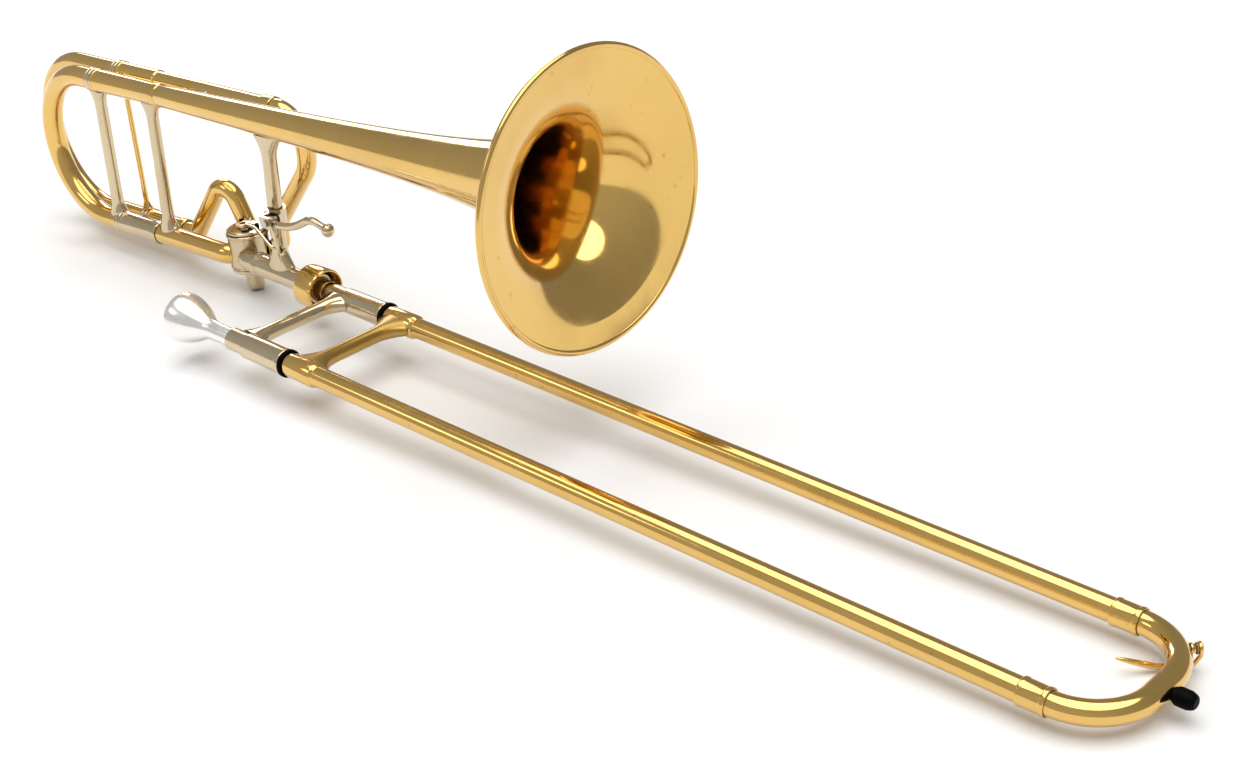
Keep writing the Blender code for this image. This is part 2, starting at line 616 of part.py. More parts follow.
def make_link():
    """The link slides along X. One eye is round the lever's pin and the other is a slot round the crank's pin."""
    x, _, z = LEVER_PIVOT
    pin_x = x + DRIVE_ARM * math.sin(LEVER_SWING / 2)
    pin_z = z - DRIVE_ARM * (1 + math.cos(LEVER_SWING / 2)) / 2
    crank_x = ROTOR_X + CRANK_RADIUS * math.sqrt(0.5)
    crank_y = ROTOR_Y - CRANK_RADIUS * (1 + math.sqrt(0.5)) / 2
    link = as_mesh(rod("link_rod", route([(pin_x - 2.6, -14.0, pin_z), ((pin_x - 14, -14.0, pin_z + 0.2), 14.0),
                                          ((crank_x + 16, crank_y, LINK_Z), 14.0), (crank_x + 3.4, crank_y, LINK_Z)]),
                       1.25, BELL_FRAME, NICKEL, 10))
    link.data.materials.clear()
    link.data.materials.append(finish_of("link_rod", NICKEL))
    eye = peg("link_eye", (pin_x, -15.2, pin_z), (pin_x, -12.7, pin_z), 4.0, BELL_FRAME, facets=16)
    yoke = block("link_yoke", (crank_x - 3.9, crank_y - 4.6, LINK_Z - 1.0), (crank_x + 4.4, crank_y + 4.6, LINK_Z + 1.0),
                 BELL_FRAME)
    join(link, eye, yoke)
    cut(link, peg("link_eye_bore", (pin_x, -17, pin_z), (pin_x, -10, pin_z), 2.1, BELL_FRAME, facets=14),
        block("link_slot", (crank_x - 1.8, crank_y - 2.9, LINK_Z - 4), (crank_x + 1.8, crank_y + 2.9, LINK_Z + 4),
              BELL_FRAME))


# Slide

def make_slide_top():
    """The inner slide: cork barrels, hand brace, inner tubes, leadpipe and the collar that the lock nut holds."""
    near, far = (0, -TUBE_SPACING, 0), (0, 0, 0)
    along = (1, 0, 0)
    end = BARREL_END
    for place, origin in (("a", near), ("b", far)):
        start = BARREL_START[place]
        turned(f"cork_barrel_{place}",
               [(start, BARREL_NECK), (BARREL_STEP, BARREL_NECK), (BARREL_STEP, BARREL_RADIUS), (end, BARREL_RADIUS)],
               [(start, BARREL_BORE), (BARREL_SHOULDER, BARREL_BORE), (BARREL_SHOULDER, BARREL_CAVITY),
                (end, BARREL_CAVITY)], origin, along, SLIDE_FRAME, NICKEL)
        sleeve(f"slide_cork_{place}", BARREL_SHOULDER + CLEAR, OUTER_TUBE_START - 1.0, (8.8, 7.45), origin, along,
               SLIDE_FRAME, CORK, 20)
        tube_start = LEADPIPE_SHOULDER + 0.6 if place == "a" else start + 0.5
        outer, inner = INNER_TUBE
        stocking = INNER_TUBE_END - 110
        turned(f"inner_tube_{place}",
               [(tube_start, outer), (stocking, outer), (stocking + 2, STOCKING_RADIUS),
                (INNER_TUBE_END, STOCKING_RADIUS)],
               [(tube_start, inner), (INNER_TUBE_END, inner)], origin, along, SLIDE_FRAME, NICKEL)
    for place, origin in (("slide_lock_ring", near), ("barrel_end_ring", far)):
        turned(place, [(end + CLEAR, 10.4), (end + 1.0, 11.0), (end + 3.2, 11.0), (end + 3.8, 10.4)],
               [(end + CLEAR, BARREL_CAVITY), (end + 3.8, BARREL_CAVITY)], origin, along, SLIDE_FRAME, RUBBER)
    turned("leadpipe", [(-68.6, 7.1), (LEADPIPE_SHOULDER, 7.1), (LEADPIPE_SHOULDER, 6.3), (160.0, 6.3)],
           [(-68.6, 6.75), (-48.0, 6.1), (-45.0, 5.6), (160.0, 5.7)], near, along, SLIDE_FRAME, NICKEL)
    collar_end = BARREL_START["b"] - CLEAR
    turned("slide_collar",
           [(NECKPIPE_END + 0.5, COLLAR_RADIUS), (-84.0, COLLAR_RADIUS), (-82.5, 9.2), (collar_end, 9.2)],
           [(NECKPIPE_END + 0.5, 6.9), (collar_end, 6.65)], far, along, SLIDE_FRAME, NICKEL)
    low, high = (HAND_BRACE_X, -TUBE_SPACING, 0), (HAND_BRACE_X, 0, 0)
    strut("hand_brace", low, high, 6.0, 10.5, [(low, along, BARREL_RADIUS), (high, along, BARREL_RADIUS)],
          SLIDE_FRAME, NICKEL, reach=17.0)


def make_mouthpiece():
    """Cup, throat and backbore on the axis of the near tube."""
    outer = [(-135.0, 18.0), (-133.6, 19.4), (-130.6, 20.0), (-126.0, 19.8), (-119.0, 18.0), (-111.0, 14.8),
             (-103.0, 10.8), (-96.0, 8.2), (-90.0, 7.6), (-70.0, 7.2), (-69.5, 6.4), (-50.0, 5.8)]
    inner = [(-135.0, 13.6), (-131.5, 12.6), (-123.0, 11.4), (-116.0, 8.2), (-108.5, 3.8), (-103.0, 3.4),
             (-50.0, 5.0)]
    turned("mouthpiece", outer, inner, (0, -TUBE_SPACING, 0), (1, 0, 0), SLIDE_FRAME, SILVER, 20)


def make_outer_slide():
    near, far = (0, -TUBE_SPACING, 0), (0, 0, 0)
    along = (1, 0, 0)
    outer, inner = OUTER_TUBE
    for place, origin in (("a", near), ("b", far)):
        turned(f"outer_tube_{place}",
               [(OUTER_TUBE_START, TONGUE_RADIUS), (SLEEVE[0], TONGUE_RADIUS), (SLEEVE[0], SLEEVE_RADIUS),
                (SLEEVE[1], SLEEVE_RADIUS), (SLEEVE[1] + 1.5, outer), (OUTER_TUBE_END, outer)],
               [(OUTER_TUBE_START, inner), (OUTER_TUBE_END, inner)], origin, along, SLIDE_FRAME, BRASS)
        sleeve(f"crook_ferrule_{place}", OUTER_TUBE_END - 9, OUTER_TUBE_END + 10, (9.2, 8.25), origin, along,
               SLIDE_FRAME, BRASS)
    low, high = (OUTER_BRACE_X, -TUBE_SPACING, 0), (OUTER_BRACE_X, 0, 0)
    strut("outer_brace", low, high, 5.0, 9.5, [(low, along, SLEEVE_RADIUS), (high, along, SLEEVE_RADIUS)],
          SLIDE_FRAME, BRASS, reach=17.0)


def crook_route():
    return route([(OUTER_TUBE_END + CLEAR, 0, 0), ((CROOK_APEX, 0, 0), CROOK_RADIUS),
                  ((CROOK_APEX, -TUBE_SPACING, 0), CROOK_RADIUS), (OUTER_TUBE_END + CLEAR, -TUBE_SPACING, 0)])


def crook_clearance(name):
    return as_mesh(rod(name, crook_route(), OUTER_TUBE[0] + CLEAR, SLIDE_FRAME, None, TUBE_SIDES))


def key_turn():
    """The water key's own axes: X out from the bend's centre, Z down. The key hangs under the crook."""
    return Matrix.Rotation(WATER_KEY_ANGLE, 3, "Z") @ Matrix.Rotation(math.pi, 3, "X")


def key_home():
    return Vector((CROOK_APEX - CROOK_RADIUS, -CROOK_RADIUS, 0))


def key_point(radial, depth=0.0, tangential=0.0):
    """A point in the water key's own axes: out from the bend's centre, down, and along the crook."""
    return key_home() + key_turn() @ Vector((radial, tangential, depth))


def make_crook():
    radius = CROOK_RADIUS
    outside = radius + OUTER_TUBE[0]
    crook = as_mesh(pipe("slide_crook", crook_route(), (OUTER_TUBE[0], 7.2), SLIDE_FRAME, BRASS))
    nipple = turned("water_key_nipple", [(-0.7, 3.6), (1.2, 3.6), (1.6, 2.9), (3.2, 2.7)], None,
                    key_point(outside), key_point(1) - key_point(0), SLIDE_FRAME, None, 16)
    join(crook, nipple)
    cut(crook, peg("tone_hole", key_point(radius + 3), key_point(outside + 5), 1.5, SLIDE_FRAME, facets=12))
    bumper = turned("rubber_bumper", [(-6.5, 4.6), (1.0, 4.6), (2.0, 5.6), (9.5, 5.8), (12.5, 4.8), (14.0, 3.6)], None,
                    (CROOK_APEX + OUTER_TUBE[0], -TUBE_SPACING / 2, 0), (1, 0, 0), SLIDE_FRAME, RUBBER, 20)
    cut(bumper, crook_clearance("bumper_seat"))


def make_water_key():
    radius = CROOK_RADIUS
    pivot = WATER_KEY_DEPTH
    turn, home = key_turn(), key_home()
    saddle = block("water_key_saddle", (radius - 3.4, -6.6, 4.0), (radius + 3.4, 6.6, pivot + 3.0), SLIDE_FRAME, BRASS,
                   turn, home)
    gap = block("saddle_gap", (radius - 6, -4.2, 8.9), (radius + 6, 4.2, pivot + 8), SLIDE_FRAME, None, turn, home)
    bore = peg("saddle_bore", key_point(radius, pivot, -9), key_point(radius, pivot, 9), 1.45, SLIDE_FRAME, facets=12)
    cut(saddle, gap, bore, crook_clearance("saddle_seat"))
    peg("water_key_screw", key_point(radius, pivot, -7.0), key_point(radius, pivot, 7.0), 1.1, SLIDE_FRAME, STEEL, 12)

    key = peg("water_key", key_point(radius, pivot, -3.8), key_point(radius, pivot, 1.0), 2.1, SLIDE_FRAME, BRASS, 16)
    touch_line = ((0, 0.3), (8, 0.2), (15, -1.4), (23, -4.0), (30, -6.4), (34.5, -7.8))
    touch_points = [key_point(radius - inward, pivot + down, -1.4) for inward, down in touch_line]
    touch = as_mesh(rod("water_key_touch", touch_points, 2.2, SLIDE_FRAME, None, 10, (0.8, 0.85, 0.95, 0.9, 0.65, 0.3)))
    arm_points = route([key_point(radius, pivot + 0.2, -1.4), (key_point(radius + 11, pivot + 0.8, -1.4), 5.0),
                        (key_point(radius + 15.5, 5.0, -0.8), 5.0), key_point(radius + 13.8, 0.0)], math.radians(20))
    arm = as_mesh(rod("water_key_arm", arm_points, 1.5, SLIDE_FRAME, None, 10))
    cup = peg("water_key_cup", key_point(radius + 12.6), key_point(radius + 15.0), 4.3, SLIDE_FRAME, facets=16)
    join(key, touch, arm, cup)
    cut(key, peg("water_key_bore", key_point(radius, pivot, -9), key_point(radius, pivot, 9), 1.45, SLIDE_FRAME,
                 facets=12))
    peg("water_key_cork", key_point(radius + 11.35), key_point(radius + 12.3), 3.6, SLIDE_FRAME, CORK, 16)

    turns, per_turn = 2, 10
    coil = []
    for k in range(turns * per_turn + 1):
        angle = math.tau * k / per_turn
        coil.append(key_point(radius + 1.85 * math.cos(angle), pivot + 1.85 * math.sin(angle),
                              1.6 + 0.9 * k / per_turn))
    rod("water_key_spring", coil, 0.28, SLIDE_FRAME, STEEL, 6)


def stand_on_origin():
    """Moves the instrument so that the centre of its box is over the origin and its lowest point is at Z = 0."""
    bpy.context.view_layer.update()
    graph = bpy.context.evaluated_depsgraph_get()
    low, high = Vector((9, 9, 9)), Vector((-9, -9, -9))
    for obj in PARTS.objects:
        if obj.type == "EMPTY":
            continue
        evaluated = obj.evaluated_get(graph)
        mesh = evaluated.to_mesh()
        for vertex in mesh.vertices:
            place = evaluated.matrix_world @ vertex.co
            for axis in range(3):
                low[axis] = min(low[axis], place[axis])
                high[axis] = max(high[axis], place[axis])
        evaluated.to_mesh_clear()
    INSTRUMENT.location = -Vector(((low.x + high.x) / 2, (low.y + high.y) / 2, low.z))


make_bell()
make_main_tube()
make_neckpipe()
make_tuning_slide("tuning", 0.0, 0.0, MAIN_RECEIVER, MAIN_INNER_LEG, MAIN_BOW, MAIN_BOW_APEX_X, (-110.0, -135.5),
                  TUNING_BRACE, 5.2, 8.0, NICKEL)
make_tuning_slide("f_tuning", F_PLANE_Y, F_LOWER_Z, F_RECEIVER, F_INNER_LEG, F_BOW, F_BOW_APEX_X, (-134.0, -135.0),
                  F_TUNING_BRACE, 2.3, 6.0, BRASS)
make_braces()
make_f_tubes()
make_f_stay()
make_casing()
make_rotor()
make_stop_arm()
make_lever()
make_link()
make_slide_top()
make_mouthpiece()
make_outer_slide()
make_crook()
make_water_key()
stand_on_origin()
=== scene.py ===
"""Looks of a tenor trombone with an F attachment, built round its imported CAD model.

Shapes are in millimetres in two frames: SLIDE, whose X axis is the far slide tube's axis,
and BELL, which leans back.
"""

import json
import math

import bpy
from mathutils import Matrix, Vector


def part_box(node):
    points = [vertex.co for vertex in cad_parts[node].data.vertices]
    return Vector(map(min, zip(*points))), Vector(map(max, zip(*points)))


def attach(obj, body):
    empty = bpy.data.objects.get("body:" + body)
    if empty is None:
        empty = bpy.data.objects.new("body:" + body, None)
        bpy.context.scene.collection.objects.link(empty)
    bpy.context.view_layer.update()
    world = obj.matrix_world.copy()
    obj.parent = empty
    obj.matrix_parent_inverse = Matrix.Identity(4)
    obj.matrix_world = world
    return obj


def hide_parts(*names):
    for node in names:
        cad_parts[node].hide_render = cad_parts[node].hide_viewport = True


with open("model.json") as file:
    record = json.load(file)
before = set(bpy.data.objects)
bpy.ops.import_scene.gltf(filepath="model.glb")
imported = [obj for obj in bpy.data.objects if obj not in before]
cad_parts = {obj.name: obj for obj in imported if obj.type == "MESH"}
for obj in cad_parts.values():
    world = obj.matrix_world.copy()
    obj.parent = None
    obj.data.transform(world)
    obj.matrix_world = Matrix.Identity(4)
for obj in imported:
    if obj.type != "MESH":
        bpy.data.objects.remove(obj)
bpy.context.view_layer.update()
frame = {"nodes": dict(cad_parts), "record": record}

MM = 0.001
SPACING = 100.0
LEAN = math.radians(3.66)
LOOP = 131.2
F_Y = 26.0
F_Z = -6.0
ROTOR = Vector((-27.0, 14.0, 0.0))
X_AXIS = Vector((1, 0, 0))
Z_AXIS = Vector((0, 0, 1))
NEAR = Vector((0, -SPACING, 0))
FAR = Vector((0, 0, 0))

low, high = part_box("outer_tube_b")
SLIDE = Matrix.Translation((low.x + 14.0 * MM, (low.y + high.y) / 2, (low.z + high.z) / 2))
BELL = SLIDE @ Matrix.Translation((-165.0 * MM, 0, 0)) @ Matrix.Rotation(-LEAN, 4, "Y")


# Materials

class Nodes:
    """A material's node tree, with short calls for the nodes used here."""

    def __init__(self, name):
        self.material = bpy.data.materials.new(name)
        self.material.use_nodes = True
        self.tree = self.material.node_tree
        self.shader = self.tree.nodes["Principled BSDF"]
        self.place = self.tree.nodes.new("ShaderNodeTexCoord").outputs["Object"]

    def link(self, source, target):
        self.tree.links.new(source, target)

    def noise(self, scale, detail=3.0, stretch=(1, 1, 1), roughness=0.5, distortion=0.0):
        mapping = self.tree.nodes.new("ShaderNodeMapping")
        mapping.inputs["Scale"].default_value = stretch
        self.link(self.place, mapping.inputs["Vector"])
        node = self.tree.nodes.new("ShaderNodeTexNoise")
        node.inputs["Scale"].default_value = scale
        node.inputs["Detail"].default_value = detail
        node.inputs["Roughness"].default_value = roughness
        node.inputs["Distortion"].default_value = distortion
        self.link(mapping.outputs["Vector"], node.inputs["Vector"])
        return node.outputs["Fac"]

    def spread(self, value, low_in, high_in, low_out, high_out):
        node = self.tree.nodes.new("ShaderNodeMapRange")
        self.link(value, node.inputs["Value"])
        ends = (("From Min", low_in), ("From Max", high_in), ("To Min", low_out), ("To Max", high_out))
        for name, number in ends:
            node.inputs[name].default_value = number
        return node.outputs["Result"]

    def sum(self, first, second, operation="ADD"):
        node = self.tree.nodes.new("ShaderNodeMath")
        node.operation = operation
        self.link(first, node.inputs[0])
        self.link(second, node.inputs[1])
        return node.outputs["Value"]

    def mix(self, share, first, second):
        """Mixes two colours, or a colour socket and a colour."""
        node = self.tree.nodes.new("ShaderNodeMix")
        node.data_type = "RGBA"
        self.link(share, node.inputs["Factor"])
        for value, socket in ((first, node.inputs["A"]), (second, node.inputs["B"])):
            if isinstance(value, tuple):
                socket.default_value = (*value, 1.0)
            else:
                self.link(value, socket)
        return node.outputs["Result"]

    def bump(self, height, strength, distance):
        node = self.tree.nodes.new("ShaderNodeBump")
        node.inputs["Strength"].default_value = strength
        node.inputs["Distance"].default_value = distance
        self.link(height, node.inputs["Height"])
        self.link(node.outputs["Normal"], self.shader.inputs["Normal"])

    def corner_shade(self, distance):
        """1 where a surface is open and less where another surface is close, as in a soldered corner."""
        node = self.tree.nodes.new("ShaderNodeAmbientOcclusion")
        node.samples = 4
        node.inputs["Distance"].default_value = distance
        return node.outputs["AO"]


def metal(name, clean, dull, tarnish_and_shade, roughness, coat, scratches=1.0, metallic=1.0):
    """Polished metal: cloudy tone, smudges, hairline scratches, dark oxide spots, painted shade in the corners,
    and a lacquer coat.
    """
    nodes = Nodes(name)
    shader = nodes.shader
    cloud = nodes.spread(nodes.noise(9.0, 4.0, distortion=0.6), 0.42, 0.72, 0.0, 1.0)
    tone = nodes.mix(cloud, clean, dull)
    # Painted shade: where another surface is close, the base colour darkens towards the dark third colour, as
    # shade falls in corners.
    corner = nodes.spread(nodes.corner_shade(0.006), 0.25, 0.75, 0.85, 0.0)
    spots = nodes.spread(nodes.noise(160.0, 2.0), 0.68, 0.80, 0.0, 0.35)
    # The random oxide spots and the painted corner shade share that dark colour.
    nodes.link(nodes.mix(nodes.sum(corner, spots, "MAXIMUM"), tone, tarnish_and_shade), shader.inputs["Base Color"])
    smudge = nodes.spread(nodes.noise(26.0, 5.0, distortion=1.2), 0.45, 0.75, 0.0, 0.10)
    hairline = nodes.spread(nodes.noise(700.0, 2.0, (0.06, 1.0, 1.0)), 0.55, 0.8, 0.0, 0.10 * scratches)
    base = nodes.spread(corner, 0.0, 1.0, roughness, roughness + 0.25)
    nodes.link(nodes.sum(nodes.sum(base, smudge), hairline), shader.inputs["Roughness"])
    height = nodes.sum(nodes.noise(14.0, 1.0), nodes.spread(hairline, 0.0, 0.1, 0.0, 0.02))
    nodes.bump(height, 0.035 * scratches, 0.002)
    shader.inputs["Metallic"].default_value = metallic
    shader.inputs["Coat Weight"].default_value = coat
    shader.inputs["Coat Roughness"].default_value = 0.04
    return nodes.material


def rubber(name):
    nodes = Nodes(name)
    grain = nodes.noise(900.0, 3.0)
    dust = nodes.spread(nodes.noise(60.0, 4.0), 0.5, 0.8, 0.0, 1.0)
    black = nodes.mix(dust, (0.001, 0.001, 0.001), (0.003, 0.003, 0.002))
    nodes.link(black, nodes.shader.inputs["Base Color"])
    nodes.link(nodes.spread(grain, 0.3, 0.7, 0.38, 0.62), nodes.shader.inputs["Roughness"])
    nodes.shader.inputs["Specular IOR Level"].default_value = 0.05
    nodes.bump(grain, 0.2, 0.0003)
    return nodes.material


def cork(name):
    nodes = Nodes(name)
    grain = nodes.noise(500.0, 5.0, roughness=0.7)
    share = nodes.spread(grain, 0.35, 0.65, 0.0, 1.0)
    nodes.link(nodes.mix(share, (0.16, 0.07, 0.03), (0.52, 0.33, 0.17)), nodes.shader.inputs["Base Color"])
    nodes.shader.inputs["Roughness"].default_value = 0.9
    nodes.bump(grain, 0.5, 0.0005)
    return nodes.material


# Each material's third colour is both its oxide spots' colour and the painted shade in its corners.
BRASS = metal("lacquered_brass", (0.79, 0.505, 0.14), (0.71, 0.44, 0.11), (0.20, 0.10, 0.03), 0.10, 0.6)
# Painted shade: a shaded copy of the brass, the same hue at about two thirds the brightness, with more
# roughness and a thinner coat, for the rotor and the outer brace.
SHADED_SATIN_BRASS = metal("satin_brass_painted_shade", (0.50, 0.32, 0.09), (0.40, 0.25, 0.06), (0.18, 0.09, 0.03), 0.30, 0.1,
                    scratches=1.2)
NICKEL = metal("nickel_silver", (0.66, 0.54, 0.345), (0.57, 0.445, 0.28), (0.16, 0.11, 0.06), 0.14, 0.4)
SILVER = metal("silver_plate", (0.93, 0.91, 0.88), (0.90, 0.86, 0.80), (0.22, 0.18, 0.12), 0.19, 0.0,
               metallic=0.9)
CHROME = metal("plated_tube", (0.86, 0.85, 0.83), (0.80, 0.79, 0.77), (0.25, 0.22, 0.18), 0.06, 0.0)
STEEL = metal("steel", (0.56, 0.56, 0.57), (0.48, 0.48, 0.49), (0.10, 0.08, 0.06), 0.25, 0.0, scratches=1.5)
RUBBER = rubber("black_rubber")
CORK = cork("cork")
BODY_OF = {node: body for body, nodes in frame["record"]["behaviour"]["bodies"].items() for node in nodes}


# Mesh helpers

def piece(name, points, faces, place, material, *nodes, sharp=38.0):
    """Makes a piece from points in millimetres. It stands for the named nodes and rides with the first."""
    mesh = bpy.data.meshes.new(name)
    mesh.from_pydata([place @ (Vector(point) * MM) for point in points], [], faces)
    mesh.validate()
    mesh.polygons.foreach_set("use_smooth", [True] * len(mesh.polygons))
    mesh.set_sharp_from_angle(angle=math.radians(sharp))
    obj = bpy.data.objects.new(name, mesh)
    bpy.context.scene.collection.objects.link(obj)
    mesh.materials.append(material)
    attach(obj, BODY_OF[nodes[0]])
    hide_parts(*nodes)
    return obj


def softened(profile, radius=0.35, closed=True):
    """Rounds the corners of an outline of (along, radius) points."""
    points = [Vector(p) for p in profile]
    count = len(points)
    result = []
    for k, here in enumerate(points):
        if not closed and k in (0, count - 1):
            result.append(here)
            continue
        before, after = points[k - 1], points[(k + 1) % count]
        back, ahead = before - here, after - here
        turn = math.pi - back.angle(ahead, 0.0)
        if turn < math.radians(20):
            result.append(here)
            continue
        reach = min(radius * math.tan(turn / 2), back.length * 0.45, ahead.length * 0.45)
        start, end = here + back.normalized() * reach, here + ahead.normalized() * reach
        for t in (0.0, 0.33, 0.67, 1.0):
            result.append(start * (1 - t) ** 2 + here * 2 * t * (1 - t) + end * t ** 2)
    return result


def rings_mesh(rings, closed_loop=False):
    """Points and faces over a list of rings of equal length; a ring of one point closes the end."""
    points, starts = [], []
    for ring in rings:
        starts.append(len(points))
        points.extend(ring)
    faces = []
    pairs = list(zip(range(len(rings) - 1), range(1, len(rings))))
    if closed_loop:
        pairs.append((len(rings) - 1, 0))
    for first, second in pairs:
        a, b = starts[first], starts[second]
        na, nb = len(rings[first]), len(rings[second])
        for k in range(max(na, nb)):
            m = (k + 1) % max(na, nb)
            if na == 1:
                faces.append((a, b + m, b + k))
            elif nb == 1:
                faces.append((a + k, a + m, b))
            else:
                faces.append((a + k, a + m, b + m, b + k))
    return points, faces


def side_axes(direction):
    direction = Vector(direction).normalized()
    side = direction.orthogonal().normalized()
    if abs(direction.z) < 0.9:
        side = direction.cross(Z_AXIS).normalized()
    return direction, side, direction.cross(side)


def lathe(name, outer, inner, origin, direction, place, material, *nodes, facets=64, soft=0.35):
    """A turned piece: outlines run along direction. With no inner outline it is solid."""
    direction, side, up = side_axes(direction)
    origin = Vector(origin)
    if inner is None:
        outline = softened([(outer[0][0], 0.0)] + outer + [(outer[-1][0], 0.0)], soft, False)
    else:
        outline = softened(outer + inner[::-1], soft)
    rings = []
    for along, radius in outline:
        centre = origin + direction * along
        if radius < 1e-6:
            rings.append([centre])
            continue
        ring = []
        for k in range(facets):
            angle = math.tau * k / facets
            ring.append(centre + (side * math.cos(angle) + up * math.sin(angle)) * radius)
        rings.append(ring)
    points, faces = rings_mesh(rings, inner is not None)
    return piece(name, points, faces, place, material, *nodes)


def route(corners, step=math.radians(4)):
    """Points along straight runs joined by arcs; each corner is (x, y, z) or ((x, y, z), bend radius)."""
    places = [(Vector(c[0]), c[1]) if len(c) == 2 else (Vector(c), 0.0) for c in corners]
    points = []
    for k, (here, radius) in enumerate(places):
        if radius == 0.0:
            points.append(here)
            continue
        inward = (here - places[k - 1][0]).normalized()
        outward = (places[k + 1][0] - here).normalized()
        angle = inward.angle(outward)
        axis = inward.cross(outward).normalized()
        start = here - inward * radius * math.tan(angle / 2)
        centre = start + axis.cross(inward) * radius
        count = max(3, round(angle / step))
        for m in range(count + 1):
            points.append(centre + Matrix.Rotation(angle * m / count, 3, axis) @ (start - centre))
    kept = [points[0]]
    for point in points[1:]:
        if (point - kept[-1]).length > 0.05:
            kept.append(point)
    return kept


def sweep_rings(points, radii, facets, normal=None):
    """Rings of the given radii square to a line of points, turned as little as possible along it."""
    points = [Vector(p) for p in points]
    tangents = []
    for k in range(len(points)):
        ahead = points[min(k + 1, len(points) - 1)] - points[max(k - 1, 0)]
        tangents.append(ahead.normalized())
    normal = Vector(normal).normalized() if normal else side_axes(tangents[0])[1]
    rings = []
    for k, point in enumerate(points):
        normal = (normal - tangents[k] * normal.dot(tangents[k])).normalized()
        across = tangents[k].cross(normal)
        radius = radii[k] if isinstance(radii, (list, tuple)) else radii
        wide, deep = radius if isinstance(radius, tuple) else (radius, radius)
        ring = []
        for m in range(facets):
            angle = math.tau * m / facets
            ring.append(point + normal * math.cos(angle) * wide + across * math.sin(angle) * deep)
        rings.append(ring)
    return rings


def pipe(name, points, outer, inner, place, material, *nodes, facets=40):
    """A hollow tube along points."""
    rings = sweep_rings(points, outer, facets) + sweep_rings(points, inner, facets)[::-1]
    mesh_points, faces = rings_mesh(rings, True)
    return piece(name, mesh_points, faces, place, material, *nodes)


def bar(name, points, radii, place, material, *nodes, facets=24, normal=None):
    """A solid rod along points, with domed ends; a radius may be (width, depth)."""
    points = [Vector(p) for p in points]
    radii = list(radii) if isinstance(radii, list) else [radii] * len(points)

    def scaled(radius, share):
        return tuple(r * share for r in radius) if isinstance(radius, tuple) else radius * share

    first, last = (points[0] - points[1]).normalized(), (points[-1] - points[-2]).normalized()
    size = [r[1] if isinstance(r, tuple) else r for r in (radii[0], radii[-1])]
    line, sizes = [], []
    for share, out in ((0.15, 0.5), (0.6, 0.4), (0.9, 0.22)):
        line.append(points[0] + first * out * size[0])
        sizes.append(scaled(radii[0], share))
    line += points
    sizes += radii
    for share, out in ((0.9, 0.22), (0.6, 0.4), (0.15, 0.5)):
        line.append(points[-1] + last * out * size[1])
        sizes.append(scaled(radii[-1], share))
    rings = [[line[0]]] + sweep_rings(line, sizes, facets, normal) + [[line[-1]]]
    mesh_points, faces = rings_mesh(rings)
    return piece(name, mesh_points, faces, place, material, *nodes)


def height_on_tube(offset, inward, line, radius):
    """How far along inward from the tube's axis its surface lies, beside the axis by offset."""
    slope = inward.dot(line)
    square = 1 - slope ** 2
    half = -offset.dot(line) * slope
    rest = offset.length_squared - offset.dot(line) ** 2 - radius ** 2
    return (-half + math.sqrt(max(half ** 2 - square * rest, 0.0))) / square


SADDLE_EDGE, SADDLE_FADE, SADDLE_GAP = 0.7, 6.0, 0.05  # edge's thickness, height that follows the tube, gap


def strut(name, start, end, waist, foot_along, foot_across, seats, place, material, *nodes, reach=16.0,
          sinks=(0.0, 0.0), facets=48, power=2.4):
    """A round brace whose ends flare into saddles on two tubes.

    Seats are (direction, radius) of the tubes. A sink takes the saddle's edge down to a thinner part
    of its tube.
    """
    start, end = Vector(start), Vector(end)
    axis = (end - start).normalized()
    half = []
    for seat, (tube_axis, tube_radius) in enumerate(seats):
        origin = start if seat == 0 else end
        inward = axis if seat == 0 else -axis
        line = Vector(tube_axis).normalized()
        along = (line - axis * line.dot(axis)).normalized()
        across = axis.cross(along)
        levels = [reach * t for t in (0.0, 0.0, 0.02, 0.05, 0.09, 0.14, 0.20, 0.29, 0.40, 0.54, 0.70, 1.0)]
        side = []
        for number, height in enumerate(levels):
            share = (1 - height / reach) ** power
            ring = []
            for k in range(facets):
                angle = math.tau * k / facets
                ca, sa = math.cos(angle), math.sin(angle)
                wide = waist + (foot_along - waist) * share
                deep = waist + (foot_across - waist) * share
                u, v = wide * ca, deep * sa
                seat_height = height_on_tube(along * u + across * v, inward, line, tube_radius) - tube_radius
                thickness = -sinks[seat] if number == 0 else SADDLE_EDGE
                follows = 1 - min(1.0, height / SADDLE_FADE)
                lift = tube_radius + height + thickness + seat_height * follows + SADDLE_GAP
                ring.append(origin + along * u + across * v + inward * lift)
            side.append(ring)
        half.append(side)
    centre_low = start + axis * (seats[0][1] * 0.9)
    centre_high = end - axis * (seats[1][1] * 0.9)
    rings = [[centre_low]] + half[0] + half[1][::-1] + [[centre_high]]
    points, faces = rings_mesh(rings)
    return piece(name, points, faces, place, material, *nodes, sharp=50.0)


# Bell

RIM_X, TAIL_X, RIM_R, WALL, ROLL = 405.5, -92.0, 108.0, 0.8, 2.4
THROAT, FLARE, TAPER = 10.5, 0.581, 0.0032


def horn(x):
    distance = RIM_X - x
    return RIM_R * (THROAT / (distance + THROAT)) ** FLARE - TAPER * distance


